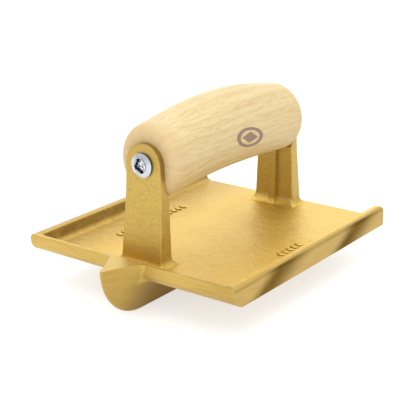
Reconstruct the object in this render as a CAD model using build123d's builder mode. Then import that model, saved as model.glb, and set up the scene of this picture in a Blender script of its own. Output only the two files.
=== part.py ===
"""Concrete hand groover: a one-piece bronze casting, a wooden handle between its posts, and two screws."""
from build123d import *
from math import cos, radians, sin, sqrt
import os

os.makedirs("parts", exist_ok=True)

# Driving dimensions, mm. X runs across the plate and Y along the joint that it cuts, with the prow at -Y.
plate_length = 152.4
plate_width = 136.0
plate_height = 10.9          # sole to the top of the rims
floor_thickness = 4.4
bit_depth = 19.4             # keel below the sole
prow_length = 20.1           # keel in front of the plate
handle_length = 123.5        # between the two ears
handle_axis_height = 58.0    # screw axis above the sole
screw_head_diameter = 13.0

# Frame: the origin is on the keel, under the middle of the bounding box
near_y = prow_length - (prow_length + plate_length) / 2
far_y = near_y + plate_length
sole_z = bit_depth
floor_z = sole_z + floor_thickness
rim_z = sole_z + plate_height
axis_z = sole_z + handle_axis_height
overrun = 2.0                # how far a cutting body runs past what it cuts

# Tray
front_radius = 7.5           # the near end turns under like a sled
rim_slope = 35.0             # inner walls, degrees from vertical
rim_foot = 10.4              # side of the plate to the foot of its rim
lip_foot = 6.5               # near end of the plate to the foot of its lip
corner_fillet = 3.0
floor_fillet = 4.0
rim_outer_radius = 2.6
rim_inner_radius = 1.2

# Bit
keel_radius = 1.0
flank_angle = 19.5           # at the keel, degrees from vertical
flank_radius = 75.0          # hollow of each flank
root_radius = 4.0            # where a flank runs out into the sole
root_inset = 0.4             # the run-out ends this far above the sole

# Posts
ear_radius = 11.2
ear_thickness = 4.0
blade_thickness = 6.8        # just under the handle
foot_thickness = 9.4         # at the floor
foot_half_width = 13.1
shoulder_low = 17.5          # below the screw axis
shoulder_bend = 220.0        # radius that hides the shoulder on the outer face
shoulder_high = 12.8
seat_clearance = 0.3         # between the handle's rounded end and the blade under it
rib_width = 4.6
rib_height = 2.0
post_edge_radius = 0.8
side_flare = 4.6             # concave foot, at the blade's sides
inner_flare = 5.4
outer_flare = 3.2
flare_sink = 0.25            # the flares meet the floor at a small angle
screw_hole_radius = 2.9
near_ear_y = near_y + 18.7   # inner face of the near ear
far_ear_y = near_ear_y + handle_length

# Handle
end_radius = 19.8
end_rounding = 6.0
waist_half_width = 18.6
waist_half_height = 22.0
arch_rise = 4.9
arch_power = 1.25            # lower is a broader arch
handle_stations = 9

# Screws
head_rim = 1.1
head_height = 2.5
shank_radius = 2.7
core_radius = 2.0
shank_length = 14.0
thread_pitch = 2.0
thread_turns = 11
tip_length = 4.0
screw_length = shank_length + thread_turns * thread_pitch + tip_length
recess_span = 8.2
recess_wing = 2.6
recess_pit_radius = 3.2
recess_depth = 2.0
recess_taper = 18.0
recess_turn = 20.0           # degrees


def post(ear_y, out):
    """One post, its ear's inner face at ear_y; out is -1 for the near post and +1 for the far one."""
    outer = ear_y + out * ear_thickness
    inner = outer - out * blade_thickness
    foot_outer = inner + out * foot_thickness
    rib = inner - out * rib_height
    foot_z = floor_z - flare_sink
    bottom = foot_z - overrun
    ear_top = axis_z + ear_radius
    shoulder_z = axis_z - shoulder_low
    with BuildPart() as upright:
        # Front: a round ear on a tapering blade that flares into the floor
        with BuildSketch(Plane.XZ.offset(-ear_y)):
            with BuildLine():
                flare_top = (foot_half_width, foot_z + side_flare)
                flare_end = (foot_half_width + side_flare, foot_z)
                CenterArc((0, axis_z), ear_radius, 0, 90)
                Line((ear_radius, axis_z), flare_top)
                RadiusArc(flare_top, flare_end, -side_flare)
                Polyline(flare_end, (flare_end[0], bottom), (0, bottom), (0, ear_top))
            make_face()
            mirror(about=Plane.YZ)
        extrude(amount=foot_thickness * 2, both=True)
        # Side: a thin ear, a thicker blade under the handle and a thicker foot
        with BuildSketch(Plane.YZ) as side:
            with BuildLine():
                outer_flare_end = (foot_outer + out * outer_flare, foot_z)
                inner_flare_end = (inner - out * inner_flare, foot_z)
                RadiusArc(outer_flare_end, (foot_outer, foot_z + outer_flare), out * outer_flare)
                Polyline(
                    (foot_outer, foot_z + outer_flare),
                    (outer, shoulder_z),
                    (outer, ear_top),
                    (ear_y, ear_top),
                    (ear_y, axis_z - shoulder_high),
                    (inner, shoulder_z),
                    (inner, foot_z + inner_flare),
                )
                RadiusArc((inner, foot_z + inner_flare), inner_flare_end, out * inner_flare)
                Polyline(
                    inner_flare_end,
                    (inner_flare_end[0], bottom),
                    (outer_flare_end[0], bottom),
                    outer_flare_end,
                )
            make_face()
            fillet(side.vertices().sort_by_distance((outer, shoulder_z))[0], shoulder_bend)
        extrude(amount=foot_half_width + side_flare, both=True, mode=Mode.INTERSECT)
        # Cast edges, softened round the ear and down both sides
        standing = upright.edges().filter_by(lambda e: e.center().Z > foot_z)
        outlines = standing.filter_by(lambda e: abs(e.tangent_at(0.5).Y) < 0.9).filter_by(
            lambda e: abs(e.center().X) > ear_radius - 1 or e.center().Z > axis_z
        )
        fillet(outlines, post_edge_radius)
        # Rib down the inner face
        rib_flare = inner_flare - rib_height
        with BuildSketch(Plane.YZ):
            with BuildLine():
                Polyline(
                    (inner, foot_z),
                    (inner, shoulder_z),
                    (rib, shoulder_z - rib_height),
                    (rib, foot_z + rib_flare),
                )
                RadiusArc((rib, foot_z + rib_flare), (rib - out * rib_flare, foot_z), out * rib_flare)
                Line((rib - out * rib_flare, foot_z), (inner, foot_z))
            make_face()
        extrude(amount=rib_width / 2, both=True)
        # Hollow for the handle's rounded end, and the screw hole
        with BuildSketch(Plane((0, ear_y, axis_z), x_dir=(0, -out, 0), z_dir=(1, 0, 0))):
            with BuildLine():
                seat_radius = end_radius + seat_clearance
                Polyline(
                    (end_rounding, seat_radius),
                    (2 * end_rounding, seat_radius),
                    (2 * end_rounding, 0),
                    (0, 0),
                    (0, seat_radius - end_rounding),
                )
                RadiusArc((0, seat_radius - end_rounding), (end_rounding, seat_radius), end_rounding)
            make_face()
        revolve(axis=Axis((0, ear_y, axis_z), (0, 1, 0)), mode=Mode.SUBTRACT)
        with BuildSketch(Plane.XZ.offset(-ear_y)):
            with Locations((0, axis_z)):
                Circle(screw_hole_radius)
        extrude(amount=ear_thickness + overrun, both=True, mode=Mode.SUBTRACT)
    return upright.part


near_post = post(near_ear_y, -1)
far_post = post(far_ear_y, 1)

# The bit's section in the XZ plane: a small keel radius, a hollow flank and a run-out into the sole
flank_start = (keel_radius * cos(radians(flank_angle)), keel_radius * (1 - sin(radians(flank_angle))))
flank_centre_x = (keel_radius + flank_radius) * cos(radians(flank_angle))
flank_centre_z = keel_radius - (keel_radius + flank_radius) * sin(radians(flank_angle))
root_z = sole_z + root_inset
root_rise = root_z - root_radius - flank_centre_z
root_run = sqrt((flank_radius - root_radius) ** 2 - root_rise**2)
root_x = flank_centre_x - root_run
root_scale = flank_radius / (flank_radius - root_radius)
flank_end = (flank_centre_x - root_run * root_scale, flank_centre_z + root_rise * root_scale)
keel_axis_y = near_y + 10.2  # the prow's round runs about this line at rim height

# What the tray removes from the plate, open at the far end
with BuildPart() as tray:
    with BuildSketch(Plane.XY.offset(floor_z)):
        with Locations((0, (near_y + lip_foot + far_y + overrun) / 2)):
            Rectangle(plate_width - 2 * rim_foot, plate_length - lip_foot + overrun)
    extrude(amount=rim_z - floor_z + overrun, taper=-rim_slope)
    near_corners = tray.edges().filter_by(lambda e: abs(e.tangent_at(0.5).Z) > 0.3).group_by(Axis.Y)[0]
    fillet(near_corners, corner_fillet)
    fillet(tray.faces().sort_by(Axis.Z)[0].edges(), floor_fillet)

with BuildPart() as casting:
    # Plate, its near end turned under
    with BuildSketch(Plane.YZ):
        with BuildLine():
            Polyline(
                (near_y + front_radius, sole_z),
                (far_y, sole_z),
                (far_y, rim_z),
                (near_y, rim_z),
                (near_y, sole_z + front_radius),
            )
            RadiusArc((near_y, sole_z + front_radius), (near_y + front_radius, sole_z), -front_radius)
        make_face()
    extrude(amount=plate_width / 2, both=True)
    fillet(casting.edges().filter_by(Axis.Y).group_by(Axis.Z)[-1], rim_outer_radius)

    # Bit: straight along the plate, then turned up about the keel axis into the prow
    with BuildSketch(Plane.XZ.offset(-keel_axis_y)) as bit_section:
        with BuildLine():
            RadiusArc((0, 0), flank_start, -keel_radius)
            RadiusArc(flank_start, flank_end, flank_radius)
            RadiusArc(flank_end, (root_x, root_z), root_radius)
            Polyline((root_x, root_z), (root_x, rim_z), (0, rim_z), (0, 0))
        make_face()
        mirror(about=Plane.YZ)
    extrude(amount=-(far_y - keel_axis_y))
    with BuildSketch(Plane.XZ.offset(-keel_axis_y)):
        add(bit_section.sketch)
    revolve(axis=Axis((0, keel_axis_y, rim_z), (1, 0, 0)), revolution_arc=-90)

    # Tray and its softened inner edge
    add(tray.part, mode=Mode.SUBTRACT)
    rim_top_edges = casting.edges().filter_by(lambda e: abs(e.center().Z - rim_z) < 0.01)
    tray_mouth = rim_top_edges.filter_by(
        lambda e: near_y + 1.5 < e.center().Y < far_y - 1
        and abs(e.center().X) < plate_width / 2 - rim_outer_radius - 1
    )
    fillet(tray_mouth, rim_inner_radius)

    # Posts
    add(near_post)
    add(far_post)

with BuildPart() as handle:
    for station in range(handle_stations):
        along = 2 * station / (handle_stations - 1) - 1
        bulge = (1 - along**2) ** arch_power
        half_width = end_radius + (waist_half_width - end_radius) * bulge
        half_height = end_radius + (waist_half_height - end_radius) * bulge
        station_y = near_ear_y + handle_length * (1 + along) / 2
        with BuildSketch(Plane.XZ.offset(-station_y)):
            with Locations((0, axis_z + arch_rise * bulge)):
                Ellipse(half_width, half_height)
    loft()
    fillet(handle.faces().filter_by(Axis.Y).edges(), end_rounding)
    # One screw hole in each end
    for end_y, inward in ((near_ear_y, 1), (far_ear_y, -1)):
        with BuildSketch(Plane((0, end_y, axis_z), z_dir=(0, inward, 0))):
            Circle(shank_radius)
        extrude(amount=screw_length - ear_thickness + overrun, mode=Mode.SUBTRACT)


def wood_screw(seat_y, out):
    """A truss-head screw. Its head sits on an ear's outer face at seat_y; out is -1 or +1, as for post()."""
    head_radius = screw_head_diameter / 2
    seat = Plane((0, seat_y, axis_z), x_dir=(0, out, 0), z_dir=(1, 0, 0))
    top = Plane((0, seat_y + out * head_height, axis_z), x_dir=(1, 0, 0), z_dir=(0, out, 0))
    with BuildPart() as screw:
        with BuildSketch(seat):
            with BuildLine():
                Polyline((head_height, 0), (-screw_length, 0), (-screw_length + tip_length, core_radius))
                for turn in range(thread_turns):
                    root = -screw_length + tip_length + turn * thread_pitch
                    Polyline(
                        (root, core_radius),
                        (root + thread_pitch / 2, shank_radius),
                        (root + thread_pitch, core_radius),
                    )
                Polyline(
                    (-shank_length, core_radius),
                    (-shank_length, shank_radius),
                    (0, shank_radius),
                    (0, head_radius),
                    (head_rim, head_radius),
                )
                crown = head_height - head_rim
                crown_radius = (head_radius**2 + crown**2) / (2 * crown)
                RadiusArc((head_rim, head_radius), (head_height, 0), crown_radius)
            make_face()
        revolve(axis=Axis((0, seat_y, axis_z), (0, 1, 0)))
        # Cross recess
        with BuildSketch(top):
            with Locations(Rotation(0, 0, recess_turn)):
                Rectangle(recess_span, recess_wing)
                Rectangle(recess_wing, recess_span)
                Circle(recess_pit_radius)
        extrude(amount=-recess_depth, taper=recess_taper, mode=Mode.SUBTRACT)
    return screw.part


near_screw = wood_screw(near_ear_y - ear_thickness, -1)
far_screw = wood_screw(far_ear_y + ear_thickness, 1)

for label, piece in (
    ("casting", casting.part),
    ("handle", handle.part),
    ("near_screw", near_screw),
    ("far_screw", far_screw),
):
    piece.label = label
    export_step(piece, f"parts/{label}.step")
    print(label, len(piece.solids()), round(piece.volume), piece.bounding_box())
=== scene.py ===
"""Concrete hand groover: a yellow bronze casting, a pale wooden handle and its two zinc-plated screws."""

from functools import partial, reduce
from math import copysign, cos, radians, sin, tau

import bmesh
import bpy
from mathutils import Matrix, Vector


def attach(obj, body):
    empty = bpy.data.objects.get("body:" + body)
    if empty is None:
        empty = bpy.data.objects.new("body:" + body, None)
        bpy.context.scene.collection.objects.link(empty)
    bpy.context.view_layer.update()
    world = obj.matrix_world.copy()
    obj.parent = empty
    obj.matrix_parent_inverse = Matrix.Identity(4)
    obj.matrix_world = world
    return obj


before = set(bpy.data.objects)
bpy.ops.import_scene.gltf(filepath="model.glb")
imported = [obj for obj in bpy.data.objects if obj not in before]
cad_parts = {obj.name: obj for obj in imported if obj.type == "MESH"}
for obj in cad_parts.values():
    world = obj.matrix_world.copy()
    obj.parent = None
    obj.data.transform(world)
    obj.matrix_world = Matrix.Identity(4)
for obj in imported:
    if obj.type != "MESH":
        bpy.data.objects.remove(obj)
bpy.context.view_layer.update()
scene = bpy.context.scene
scene.view_settings.view_transform = "Standard"


# ---------------------------------------------------------------- node helpers

class Shader:
    """A material's node tree, written as nested calls that hand on output sockets."""

    def __init__(self, name):
        self.material = bpy.data.materials.new(name)
        self.material.use_nodes = True
        self.tree = self.material.node_tree
        self.surface = self.tree.nodes["Principled BSDF"]
        self.place = self.node("ShaderNodeTexCoord").outputs["Object"]
        self.normal = self.node("ShaderNodeNewGeometry").outputs["Normal"]

    def node(self, kind, **settings):
        made = self.tree.nodes.new(kind)
        for key, value in settings.items():
            setattr(made, key, value)
        return made

    def feed(self, socket, value):
        if isinstance(value, bpy.types.NodeSocket):
            self.tree.links.new(value, socket)
        else:
            socket.default_value = value

    def math(self, operation, *values):
        made = self.node("ShaderNodeMath", operation=operation)
        for socket, value in zip(made.inputs, values):
            self.feed(socket, value)
        return made.outputs[0]

    def times(self, *values):
        return reduce(partial(self.math, "MULTIPLY"), values)

    def plus(self, *values):
        return reduce(partial(self.math, "ADD"), values)

    def most(self, *values):
        return reduce(partial(self.math, "MAXIMUM"), values)

    def minus(self, a, b):
        return self.math("SUBTRACT", a, b)

    def size(self, value):
        return self.math("ABSOLUTE", value)

    def hypot(self, a, b):
        return self.math("SQRT", self.plus(self.times(a, a), self.times(b, b)))

    def axes(self, vector):
        made = self.node("ShaderNodeSeparateXYZ")
        self.feed(made.inputs[0], vector)
        return made.outputs

    def join(self, x, y, z):
        made = self.node("ShaderNodeCombineXYZ")
        for socket, value in zip(made.inputs, (x, y, z)):
            self.feed(socket, value)
        return made.outputs[0]

    def stretch(self, vector, scale):
        made = self.node("ShaderNodeVectorMath", operation="MULTIPLY")
        self.feed(made.inputs[0], vector)
        made.inputs[1].default_value = scale
        return made.outputs[0]

    def noise(self, vector, scale, detail=3, roughness=0.5):
        made = self.node("ShaderNodeTexNoise")
        self.feed(made.inputs["Vector"], vector)
        made.inputs["Scale"].default_value = scale
        made.inputs["Detail"].default_value = detail
        made.inputs["Roughness"].default_value = roughness
        return made.outputs["Fac"]

    def step(self, value, low, high, to_low=0.0, to_high=1.0):
        """A smooth step from to_low at low to to_high at high."""
        made = self.node("ShaderNodeMapRange", interpolation_type="SMOOTHSTEP")
        for socket, given in zip(made.inputs, (value, low, high, to_low, to_high)):
            self.feed(socket, given)
        return made.outputs[0]

    def mix(self, factor, a, b, blend="MIX"):
        made = self.node("ShaderNodeMix", data_type="RGBA", blend_type=blend)
        self.feed(made.inputs[0], factor)
        for socket, value in ((made.inputs[6], a), (made.inputs[7], b)):
            self.feed(socket, value if isinstance(value, bpy.types.NodeSocket) else (*value, 1.0))
        return made.outputs[2]

    def bump(self, height):
        """A normal bent by a height in metres."""
        made = self.node("ShaderNodeBump")
        self.feed(made.inputs["Height"], height)
        made.inputs["Distance"].default_value = 1.0
        return made.outputs[0]

    def finish(self, **inputs):
        for key, value in inputs.items():
            self.feed(self.surface.inputs[key.replace("_", " ")], value)
        return self.material


def repaint(node, material):
    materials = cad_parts[node].data.materials
    materials.clear()
    materials.append(material)


# ---------------------------------------------------------------- bronze

# Where the casting's surfaces are, in metres
FLOOR_Z = 0.0238             # floor of the tray
RIM_Z = 0.0303
SOLE_Z = 0.0194
SIDE_X = 0.068
RIM_TOP_X = 0.0650           # outer edge of the rims' flat tops
NEAR_Y = -0.06615
MIDDLE_Y = 0.0143            # halfway between the two posts, and between the two screws

# Masks, each as the place where it is 0 and the place where it is 1
POST_LOW = (FLOOR_Z + 0.0004, FLOOR_Z + 0.0040)
POST_SIDE = (0.024, 0.020)
WALL_LOW, WALL_HIGH = (FLOOR_Z + 0.0008, FLOOR_Z + 0.0030), (RIM_Z, RIM_Z - 0.0012)
WALL_INNER, WALL_OUTER = (0.0555, 0.0585), (0.0650, 0.0635)
GROUND_SIDE = (SIDE_X - 0.0030, SIDE_X - 0.0022)
GROUND_NEAR = (NEAR_Y + 0.0030, NEAR_Y + 0.0022)
GROUND_LOW = (FLOOR_Z - 0.0004, FLOOR_Z - 0.0009)
PROW_Y = (NEAR_Y - 0.0002, NEAR_Y - 0.0012)
RIM_OUTSIDE = (RIM_TOP_X, RIM_TOP_X + 0.0008)
NEAR_CORNER = (0.030, RIM_TOP_X)
UNDER_SOLE = (SOLE_Z, SOLE_Z - 0.0020)
BIT_LOW, BIT_FAR = (SOLE_Z + 0.0005, SOLE_Z - 0.0010), (NEAR_Y - 0.013, NEAR_Y + 0.022)
LEFT_SHADE = (-0.018, -0.056)
EAR_TOP, EAR_LOW = (0.070, 0.090), (0.066, 0.074)
BASE_SHADE_OUT, BASE_SHADE_LOW = (0.0640, 0.0660), (FLOOR_Z + 0.020, FLOOR_Z + 0.004)

# Dark bands on the right side, painted as dark reflections: each is placed by y - BAND_LEAN * z
BAND_LEAN = 1.8
BAND_PLACES = (-0.076, 0.003)
BAND_RISE = 0.018
BAND_FADE = 0.034
BAND_FACE = (SIDE_X - 0.0018, SIDE_X - 0.0004)

BRONZE = (0.70, 0.480, 0.098)
BRONZE_DARK = (0.59, 0.385, 0.070)
BRONZE_LEFT_SHADE = (0.47, 0.305, 0.066)
BRONZE_LEFT_SHADE_DARK = (0.39, 0.245, 0.048)
BRONZE_POST_SHADE = (0.53, 0.365, 0.090)
BRONZE_POST_SHADE_DARK = (0.44, 0.295, 0.066)
BRONZE_GROUND = (0.57, 0.390, 0.098)
BRONZE_GROUND_SHADE = (0.47, 0.315, 0.078)
BRUSH_LINE = (0.72, 0.68, 0.60)          # what a brushed line multiplies the colour by
BRONZE_EAR_SHADE = (0.425, 0.290, 0.076)
BRONZE_BASE_SHADE = (0.47, 0.265, 0.050)
BRONZE_WALL_SHADE = (0.29, 0.180, 0.038)
BRONZE_SHADE = (0.20, 0.115, 0.018)
BRONZE_DARK_REFLECTION = (0.125, 0.072, 0.014)
CLEAN_EDGE = (1.0, 1.0, 1.0)             # glancing reflections off clean metal, and off the painted dark reflections and painted shade
SHADED_EDGE = (0.77, 0.66, 0.50)
CAST_METALLIC = 0.75                     # below 1, for a dull oxide skin

# Noises, in features per metre, and the heights of their bumps in metres
DRIFT_SCALE = 38
GRAIN_SCALE, GRAIN_HEIGHT, GROUND_GRAIN_HEIGHT = 750, 0.00022, 0.00002
FINE_SCALE, FINE_HEIGHT = 1700, 0.00005
SKIN_SCALE, SKIN_HEIGHT, SKIN_STRETCH = 240, 0.00065, (0.55, 1.0, 1.0)
POST_SKIN = 0.4                          # the posts' share of that height
BRUSH_SCALE, BRUSH_HEIGHT = 2200, 0.00003
BRUSH_LEVEL, BRUSH_LENGTHWAYS = (0.03, 0.03, 1.0), (1.0, 0.03, 1.0)


def bronze():
    s = Shader("bronze")
    x, y, z = s.axes(s.place)
    _, facing_y, facing_up = s.axes(s.normal)
    endwise = s.size(facing_y)
    from_middle_x = s.size(x)
    from_middle_y = s.size(s.minus(y, MIDDLE_Y))
    grain = s.noise(s.place, GRAIN_SCALE, detail=5, roughness=0.7)
    drift = s.noise(s.place, DRIFT_SCALE)
    skin = s.noise(s.stretch(s.place, SKIN_STRETCH), SKIN_SCALE, detail=2)

    # Where each kind of surface is
    post = s.times(s.step(z, *POST_LOW), s.step(from_middle_x, *POST_SIDE))
    wall = s.times(
        s.step(z, *WALL_LOW),
        s.step(z, *WALL_HIGH),
        s.step(from_middle_x, *WALL_INNER),
        s.step(from_middle_x, *WALL_OUTER),
        s.step(endwise, 0.85, 0.65),
    )
    near_end = s.step(y, *GROUND_NEAR)
    ground = s.most(s.step(from_middle_x, *GROUND_SIDE), near_end, s.step(z, *GROUND_LOW))
    prow = s.times(s.step(y, *PROW_Y), s.step(facing_up, 0.6, 0.4))
    ground_shade = s.most(
        s.times(s.step(from_middle_x, *RIM_OUTSIDE), s.step(endwise, 0.9, 0.6)),
        s.step(z, *UNDER_SOLE),
        prow,
        s.times(s.step(x, *NEAR_CORNER), near_end),
    )
    bit_shade = s.times(s.step(z, *BIT_LOW), s.step(y, *BIT_FAR))
    lean = s.minus(y, s.times(z, BAND_LEAN))
    bands = s.plus(*(
        s.times(s.step(lean, place - BAND_RISE, place), s.step(lean, place + BAND_FADE, place))
        for place in BAND_PLACES
    ))
    dark_reflection = s.times(bands, s.step(x, *BAND_FACE))

    # Cast grain, with painted shade darker towards the left rim and on the posts
    cast = s.step(grain, 0.36, 0.60)
    colour = s.mix(cast, BRONZE_DARK, BRONZE)
    left_shade = s.mix(s.step(grain, 0.30, 0.66), BRONZE_LEFT_SHADE_DARK, BRONZE_LEFT_SHADE)
    colour = s.mix(s.step(x, *LEFT_SHADE), colour, left_shade)
    colour = s.mix(post, colour, s.mix(cast, BRONZE_POST_SHADE_DARK, BRONZE_POST_SHADE))
    # Painted shade: the ears darker on top, and darker still round their edges beside the handle
    colour = s.mix(s.step(z, *EAR_TOP, 0.0, 0.75), colour, BRONZE_EAR_SHADE)
    ear_edge_shade = s.times(s.step(z, *EAR_LOW), s.step(endwise, 0.75, 0.45, 0.0, 0.65))
    colour = s.mix(ear_edge_shade, colour, BRONZE_SHADE)
    # Painted shade, orange-brown, low on the posts' outer faces
    base_shade = s.times(s.step(from_middle_y, *BASE_SHADE_OUT), s.step(z, *BASE_SHADE_LOW), post)
    colour = s.mix(s.times(base_shade, s.step(drift, 0.30, 0.62, 0.15, 0.50)), colour, BRONZE_BASE_SHADE)
    # Painted shade on the rims' inner walls
    colour = s.mix(wall, colour, BRONZE_WALL_SHADE)
    # Ground faces are cleaner; painted shade darkens the rims' outsides, the underside, the prow and the
    # right of the near end
    colour = s.mix(ground, colour, BRONZE_GROUND)
    colour = s.mix(ground_shade, colour, BRONZE_GROUND_SHADE)
    # Painted shade: the bit darker below the sole, away from the prow
    colour = s.mix(bit_shade, colour, BRONZE_SHADE)
    # Brushed lines run level round the walls and lengthways on top
    level = s.noise(s.stretch(s.place, BRUSH_LEVEL), BRUSH_SCALE)
    lengthways = s.noise(s.stretch(s.place, BRUSH_LENGTHWAYS), BRUSH_SCALE)
    brushed = s.mix(s.step(facing_up, 0.6, 0.8), level, lengthways)
    lines = s.times(ground, s.step(brushed, 0.36, 0.64, 0.50, 0.0))
    colour = s.mix(lines, colour, s.mix(1.0, colour, BRUSH_LINE, blend="MULTIPLY"))
    # Painted dark reflections on the right side
    colour = s.mix(dark_reflection, colour, BRONZE_DARK_REFLECTION)
    # Slow drifts of tone everywhere, and patches on what is as cast
    colour = s.mix(s.step(drift, 0.35, 0.65, 0.0, 0.12), colour, BRONZE_DARK)
    patches = s.times(s.step(skin, 0.52, 0.66, 0.0, 0.22), s.step(ground, 0.9, 0.1))
    colour = s.mix(patches, colour, BRONZE_DARK)

    skin_height = s.times(
        s.step(ground, 0.0, 1.0, SKIN_HEIGHT, 0.0),
        s.step(post, 0.0, 1.0, 1.0, POST_SKIN),
    )
    bumps = s.plus(
        s.times(grain, s.step(ground, 0.0, 1.0, GRAIN_HEIGHT, GROUND_GRAIN_HEIGHT)),
        s.times(s.noise(s.place, FINE_SCALE, detail=2), FINE_HEIGHT),
        s.times(brushed, ground, BRUSH_HEIGHT),
        s.times(skin, skin_height),
    )
    return s.finish(
        Base_Color=colour,
        Metallic=s.step(s.most(dark_reflection, wall), 0.0, 1.0, CAST_METALLIC, 1.0),
        Specular_Tint=s.mix(s.most(dark_reflection, bit_shade), CLEAN_EDGE, SHADED_EDGE),
        Roughness=s.step(drift, 0.3, 0.7, 0.38, 0.44),
        Normal=s.bump(bumps),
    )


# ---------------------------------------------------------------- wood

GRIP_Z = 0.0800                          # height of the line that the grain wraps about
ROUND_END = (0.050, 0.061)               # from the middle of the handle, as a mask

# A plain oval stamp on the handle's right side: y and z of its middle, half its length and height,
# and its slope
STAMP_Y, STAMP_Z = 0.0194, 0.0793
STAMP_HALF_Y, STAMP_HALF_Z = 0.0130, 0.0058
STAMP_SLOPE = -0.18
LOZENGE_SQUASH = 1.1

WOOD_PALE = (0.655, 0.530, 0.275)
WOOD_WARM = (0.57, 0.415, 0.190)
WOOD_PORE = (0.41, 0.295, 0.130)
WOOD_END = (0.56, 0.385, 0.185)
STAMP_BROWN = (0.205, 0.120, 0.095)

LINE_HEIGHT = 0.00003
PORE_DEPTH = 0.00004


def wood():
    s = Shader("wood")
    x, y, z = s.axes(s.place)
    around = s.node("ShaderNodeVectorMath", operation="NORMALIZE")
    s.feed(around.inputs[0], s.join(x, 0.0, s.minus(z, GRIP_Z)))
    turn_x, _, turn_z = s.axes(around.outputs[0])

    def wrapped(along):
        """The direction from the grain's line, and y times along: a small along draws the grain out."""
        return s.join(turn_x, s.times(y, along), turn_z)

    bands = s.noise(wrapped(1.6), 9, detail=4, roughness=0.6)
    lines = s.noise(wrapped(0.7), 40, detail=4, roughness=0.65)
    pores = s.noise(wrapped(2.2), 58, roughness=0.6)
    colour = s.mix(s.step(bands, 0.38, 0.66, 0.0, 0.8), WOOD_PALE, WOOD_WARM)
    colour = s.mix(s.step(lines, 0.44, 0.64, 0.0, 0.60), colour, WOOD_WARM)
    colour = s.mix(s.step(pores, 0.52, 0.64, 0.0, 0.62), colour, WOOD_PORE)
    # The round ends cut across the grain
    ends = s.step(s.size(s.minus(y, MIDDLE_Y)), *ROUND_END)
    spokes = s.step(s.noise(wrapped(0.0), 40, roughness=0.6), 0.42, 0.62, 0.25, 0.85)
    colour = s.mix(s.times(ends, spokes), colour, WOOD_END)
    # The stamp: an oval line round a solid lozenge, thin where the ink missed the pores
    off_y = s.minus(y, STAMP_Y)
    off_z = s.minus(s.minus(z, STAMP_Z), s.times(off_y, STAMP_SLOPE))
    u = s.size(s.math("DIVIDE", off_y, STAMP_HALF_Y))
    v = s.size(s.math("DIVIDE", off_z, STAMP_HALF_Z))
    radius = s.hypot(u, v)
    oval = s.times(s.step(radius, 0.70, 0.74), s.step(radius, 1.02, 0.98))
    lozenge = s.step(s.plus(u, s.times(v, LOZENGE_SQUASH)), 0.64, 0.60)
    right_side = s.step(s.axes(s.normal)[0], 0.2, 0.4)
    ink = s.times(s.most(oval, lozenge), right_side, s.step(pores, 0.66, 0.50, 0.66, 0.94))
    colour = s.mix(ink, colour, STAMP_BROWN)
    bumps = s.minus(s.times(lines, LINE_HEIGHT), s.times(pores, PORE_DEPTH))
    return s.finish(Base_Color=colour, Roughness=0.52, Normal=s.bump(bumps))


# ---------------------------------------------------------------- zinc

SCREW_Z = 0.0774
HEAD_TOP = 0.06825                       # crown of either head, from MIDDLE_Y
HEAD_RADIUS = 0.0065
HEAD_CROWN = 0.0014
HEAD_OUTSIDE = (HEAD_TOP - 0.0012, HEAD_TOP - 0.0008)
RECESS_DEPTH, RECESS_RADIUS = (0.0001, 0.0009), (0.0046, 0.0042)
RING_INNER, RING_OUTER = (0.0032, 0.0036), (0.0042, 0.0038)

ZINC_DIM = (0.45, 0.475, 0.515)
ZINC_BRIGHT = (0.60, 0.625, 0.66)
FACET_SHADE = (0.16, 0.17, 0.19)
FACET_HIGHLIGHT = (0.72, 0.74, 0.78)
RING_SHADE = (0.10, 0.105, 0.12)
FLANK_SHADE = (0.09, 0.092, 0.10)


def zinc():
    s = Shader("zinc")
    x, y, z = s.axes(s.place)
    haze = s.noise(s.place, 900)
    colour = s.mix(haze, ZINC_DIM, ZINC_BRIGHT)
    radius = s.hypot(x, s.minus(z, SCREW_Z))
    out = s.size(s.minus(y, MIDDLE_Y))
    share = s.math("DIVIDE", radius, HEAD_RADIUS)
    crown = s.minus(HEAD_TOP, s.times(share, share, HEAD_CROWN))
    # Painted highlights and painted shade as facets inside the recess
    recess = s.times(s.step(s.minus(crown, out), *RECESS_DEPTH), s.step(radius, *RECESS_RADIUS))
    painted_facets = s.step(s.noise(s.place, 620, detail=1), 0.46, 0.54)
    colour = s.mix(recess, colour, s.mix(painted_facets, FACET_SHADE, FACET_HIGHLIGHT))
    # Painted shade: a dark ring round the recess, and a dark flank round the head and down the recess walls
    ring = s.times(s.step(radius, *RING_INNER), s.step(radius, *RING_OUTER), s.step(out, *HEAD_OUTSIDE), 0.6)
    colour = s.mix(ring, colour, RING_SHADE)
    colour = s.mix(s.step(s.size(s.axes(s.normal)[1]), 0.75, 0.45), colour, FLANK_SHADE)
    return s.finish(
        Base_Color=colour,
        Metallic=1.0,
        Roughness=s.step(haze, 0.3, 0.7, 0.22, 0.34),
        Normal=s.bump(s.times(haze, 0.00003)),
    )


repaint("casting", bronze())
repaint("handle", wood())
zinc_finish = zinc()
for screw in ("near_screw", "far_screw"):
    repaint(screw, zinc_finish)


# ---------------------------------------------------------------- raised marks on the tray floor

MARK_PITCH = 0.0045
MARK_HALF = (0.0026, 0.0015)
MARK_HEIGHT = 0.0007
MARK_SHOULDER = 0.00042                  # height where a mark's side starts to slope in
MARK_INSET = 0.000315                    # how much smaller its top is all round
MARK_SINK = 0.0003                       # how far its foot goes into the floor
LOZENGE = 1.6                            # power that turns an ellipse into a soft lozenge
LOOP_POINTS = 24
MARK_FLANK_SHADE = (0.37, 0.235, 0.050)


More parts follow.
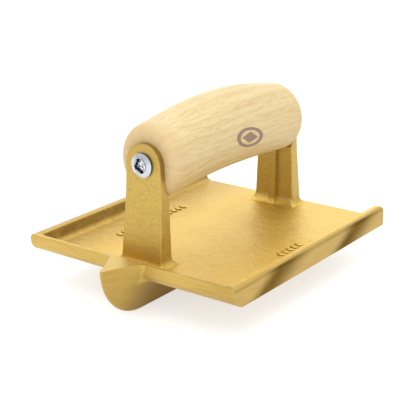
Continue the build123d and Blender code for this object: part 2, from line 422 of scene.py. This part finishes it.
def mark_bronze():
    """Cast bronze with painted shade down the marks' flanks."""
    s = Shader("mark_bronze")
    grain = s.noise(s.place, 900)
    colour = s.mix(s.step(grain, 0.3, 0.7), BRONZE_DARK, BRONZE)
    colour = s.mix(s.step(s.axes(s.normal)[2], 0.97, 0.75), colour, MARK_FLANK_SHADE)
    return s.finish(
        Base_Color=colour,
        Metallic=CAST_METALLIC,
        Roughness=s.step(grain, 0.3, 0.7, 0.38, 0.46),
        Normal=s.bump(s.times(grain, 0.0001)),
    )


mark_finish = mark_bronze()


def mark_loop(mesh, centre, half, z):
    """A closed ring of vertices round a lozenge with rounded corners."""
    ring = []
    for i in range(LOOP_POINTS):
        c, q = cos(tau * i / LOOP_POINTS), sin(tau * i / LOOP_POINTS)
        ring.append(mesh.verts.new((
            centre[0] + copysign(abs(c) ** LOZENGE, c) * half[0],
            centre[1] + copysign(abs(q) ** LOZENGE, q) * half[1],
            z,
        )))
    return ring


def bridge(mesh, low, high):
    for i in range(LOOP_POINTS):
        j = (i + 1) % LOOP_POINTS
        mesh.faces.new((low[i], low[j], high[j], high[i]))


def place_piece(name, mesh, material):
    mesh.materials.append(material)
    piece = bpy.data.objects.new(name, mesh)
    scene.collection.objects.link(piece)
    return piece


def raised_marks(name, first, count):
    """A row of plain lozenges cast on the tray floor, from the one nearest the prow."""
    inset = [half - MARK_INSET for half in MARK_HALF]
    outline = (
        (MARK_HALF, FLOOR_Z - MARK_SINK),
        (MARK_HALF, FLOOR_Z + MARK_SHOULDER),
        (inset, FLOOR_Z + MARK_HEIGHT),
    )
    solid = bmesh.new()
    for i in range(count):
        centre = (first[0], first[1] + MARK_PITCH * i)
        loops = [mark_loop(solid, centre, half, z) for half, z in outline]
        for low, high in zip(loops, loops[1:]):
            bridge(solid, low, high)
        solid.faces.new(loops[-1])
        solid.faces.new(loops[0][::-1])
    mesh = bpy.data.meshes.new(name)
    solid.to_mesh(mesh)
    solid.free()
    mesh.shade_smooth()
    piece = place_piece(name, mesh, mark_finish)
    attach(piece, "root")


raised_marks("left_marks", (-0.0385, -0.0260), 14)
raised_marks("right_marks", (0.0515, 0.0005), 5)


# ---------------------------------------------------------------- floor

FLOOR_REACH = 6.0
FLOOR_TONES = ((0.49, 0.49, 0.49), (0.51, 0.51, 0.51))
FLOOR_GLOW = 0.63                        # keeps the shadow faint


def pale_floor():
    r = FLOOR_REACH
    mesh = bpy.data.meshes.new("floor")
    mesh.from_pydata([(-r, -r, 0), (r, -r, 0), (r, r, 0), (-r, r, 0)], [], [(0, 1, 2, 3)])
    s = Shader("floor")
    finish = s.finish(
        Base_Color=s.mix(s.noise(s.place, 8), *FLOOR_TONES),
        Roughness=0.9,
        Emission_Color=(1, 1, 1, 1),
        Emission_Strength=FLOOR_GLOW,
    )
    piece = place_piece("floor", mesh, finish)


pale_floor()


# ---------------------------------------------------------------- light

# The room's light by direction: even all round, with more from overhead and from behind the object
EVEN = 0.88
OVERHEAD, OVERHEAD_CAP = 1.8, (0.62, 1.0)            # strength, and height of the direction
BEHIND, BEHIND_CAP = 0.72, (0.70, 0.97)              # strength, and cosine from BEHIND_WAY
BEHIND_WAY = Vector((-0.555, 0.766, 0.36)).normalized()

# One soft box, in front and to the right
FILL_PLACE = Vector((0.75, -1.15, 0.55))
FILL_TARGET = Vector((0, 0, 0.06))
FILL_SIZE = (1.2, 0.9)
FILL_POWER = 3.0


def studio():
    world = bpy.data.worlds.new("studio")
    world.use_nodes = True
    tree = world.node_tree
    way = tree.nodes.new("ShaderNodeTexCoord").outputs["Generated"]
    parts = tree.nodes.new("ShaderNodeSeparateXYZ")
    tree.links.new(way, parts.inputs[0])
    facing = tree.nodes.new("ShaderNodeVectorMath")
    facing.operation = "DOT_PRODUCT"
    tree.links.new(way, facing.inputs[0])
    facing.inputs[1].default_value = BEHIND_WAY

    def ramp(value, low, high, to_low, to_high):
        made = tree.nodes.new("ShaderNodeMapRange")
        made.interpolation_type = "SMOOTHSTEP"
        tree.links.new(value, made.inputs[0])
        for socket, number in zip(made.inputs[1:5], (low, high, to_low, to_high)):
            socket.default_value = number
        return made.outputs[0]

    total = tree.nodes.new("ShaderNodeMath")
    total.operation = "ADD"
    tree.links.new(ramp(parts.outputs["Z"], *OVERHEAD_CAP, EVEN, EVEN + OVERHEAD), total.inputs[0])
    tree.links.new(ramp(facing.outputs["Value"], *BEHIND_CAP, 0.0, BEHIND), total.inputs[1])
    background = tree.nodes["Background"]
    background.inputs["Color"].default_value = (1, 1, 1, 1)
    tree.links.new(total.outputs[0], background.inputs["Strength"])
    scene.world = world


def soft_box():
    light = bpy.data.lights.new("fill", "AREA")
    light.shape = "RECTANGLE"
    light.size, light.size_y = FILL_SIZE
    light.energy = FILL_POWER
    lamp = bpy.data.objects.new("fill", light)
    scene.collection.objects.link(lamp)
    lamp.location = FILL_PLACE
    lamp.rotation_euler = (FILL_TARGET - FILL_PLACE).to_track_quat("-Z", "Y").to_euler()


studio()
soft_box()


# ---------------------------------------------------------------- camera

CAMERA_PLACE = (0.34885, -0.47638, 0.24311)
CAMERA_DOWN = 18.98                      # degrees below level
CAMERA_TURN = 35.91                      # degrees from looking along +Y
CAMERA_LENS, CAMERA_SENSOR = 97.36, 36   # mm

camera_data = bpy.data.cameras.new("camera")
camera_data.lens = CAMERA_LENS
camera_data.sensor_width = CAMERA_SENSOR
camera = bpy.data.objects.new("camera", camera_data)
scene.collection.objects.link(camera)
camera.location = CAMERA_PLACE
camera.rotation_euler = (radians(90 - CAMERA_DOWN), 0, radians(CAMERA_TURN))
scene.camera = camera
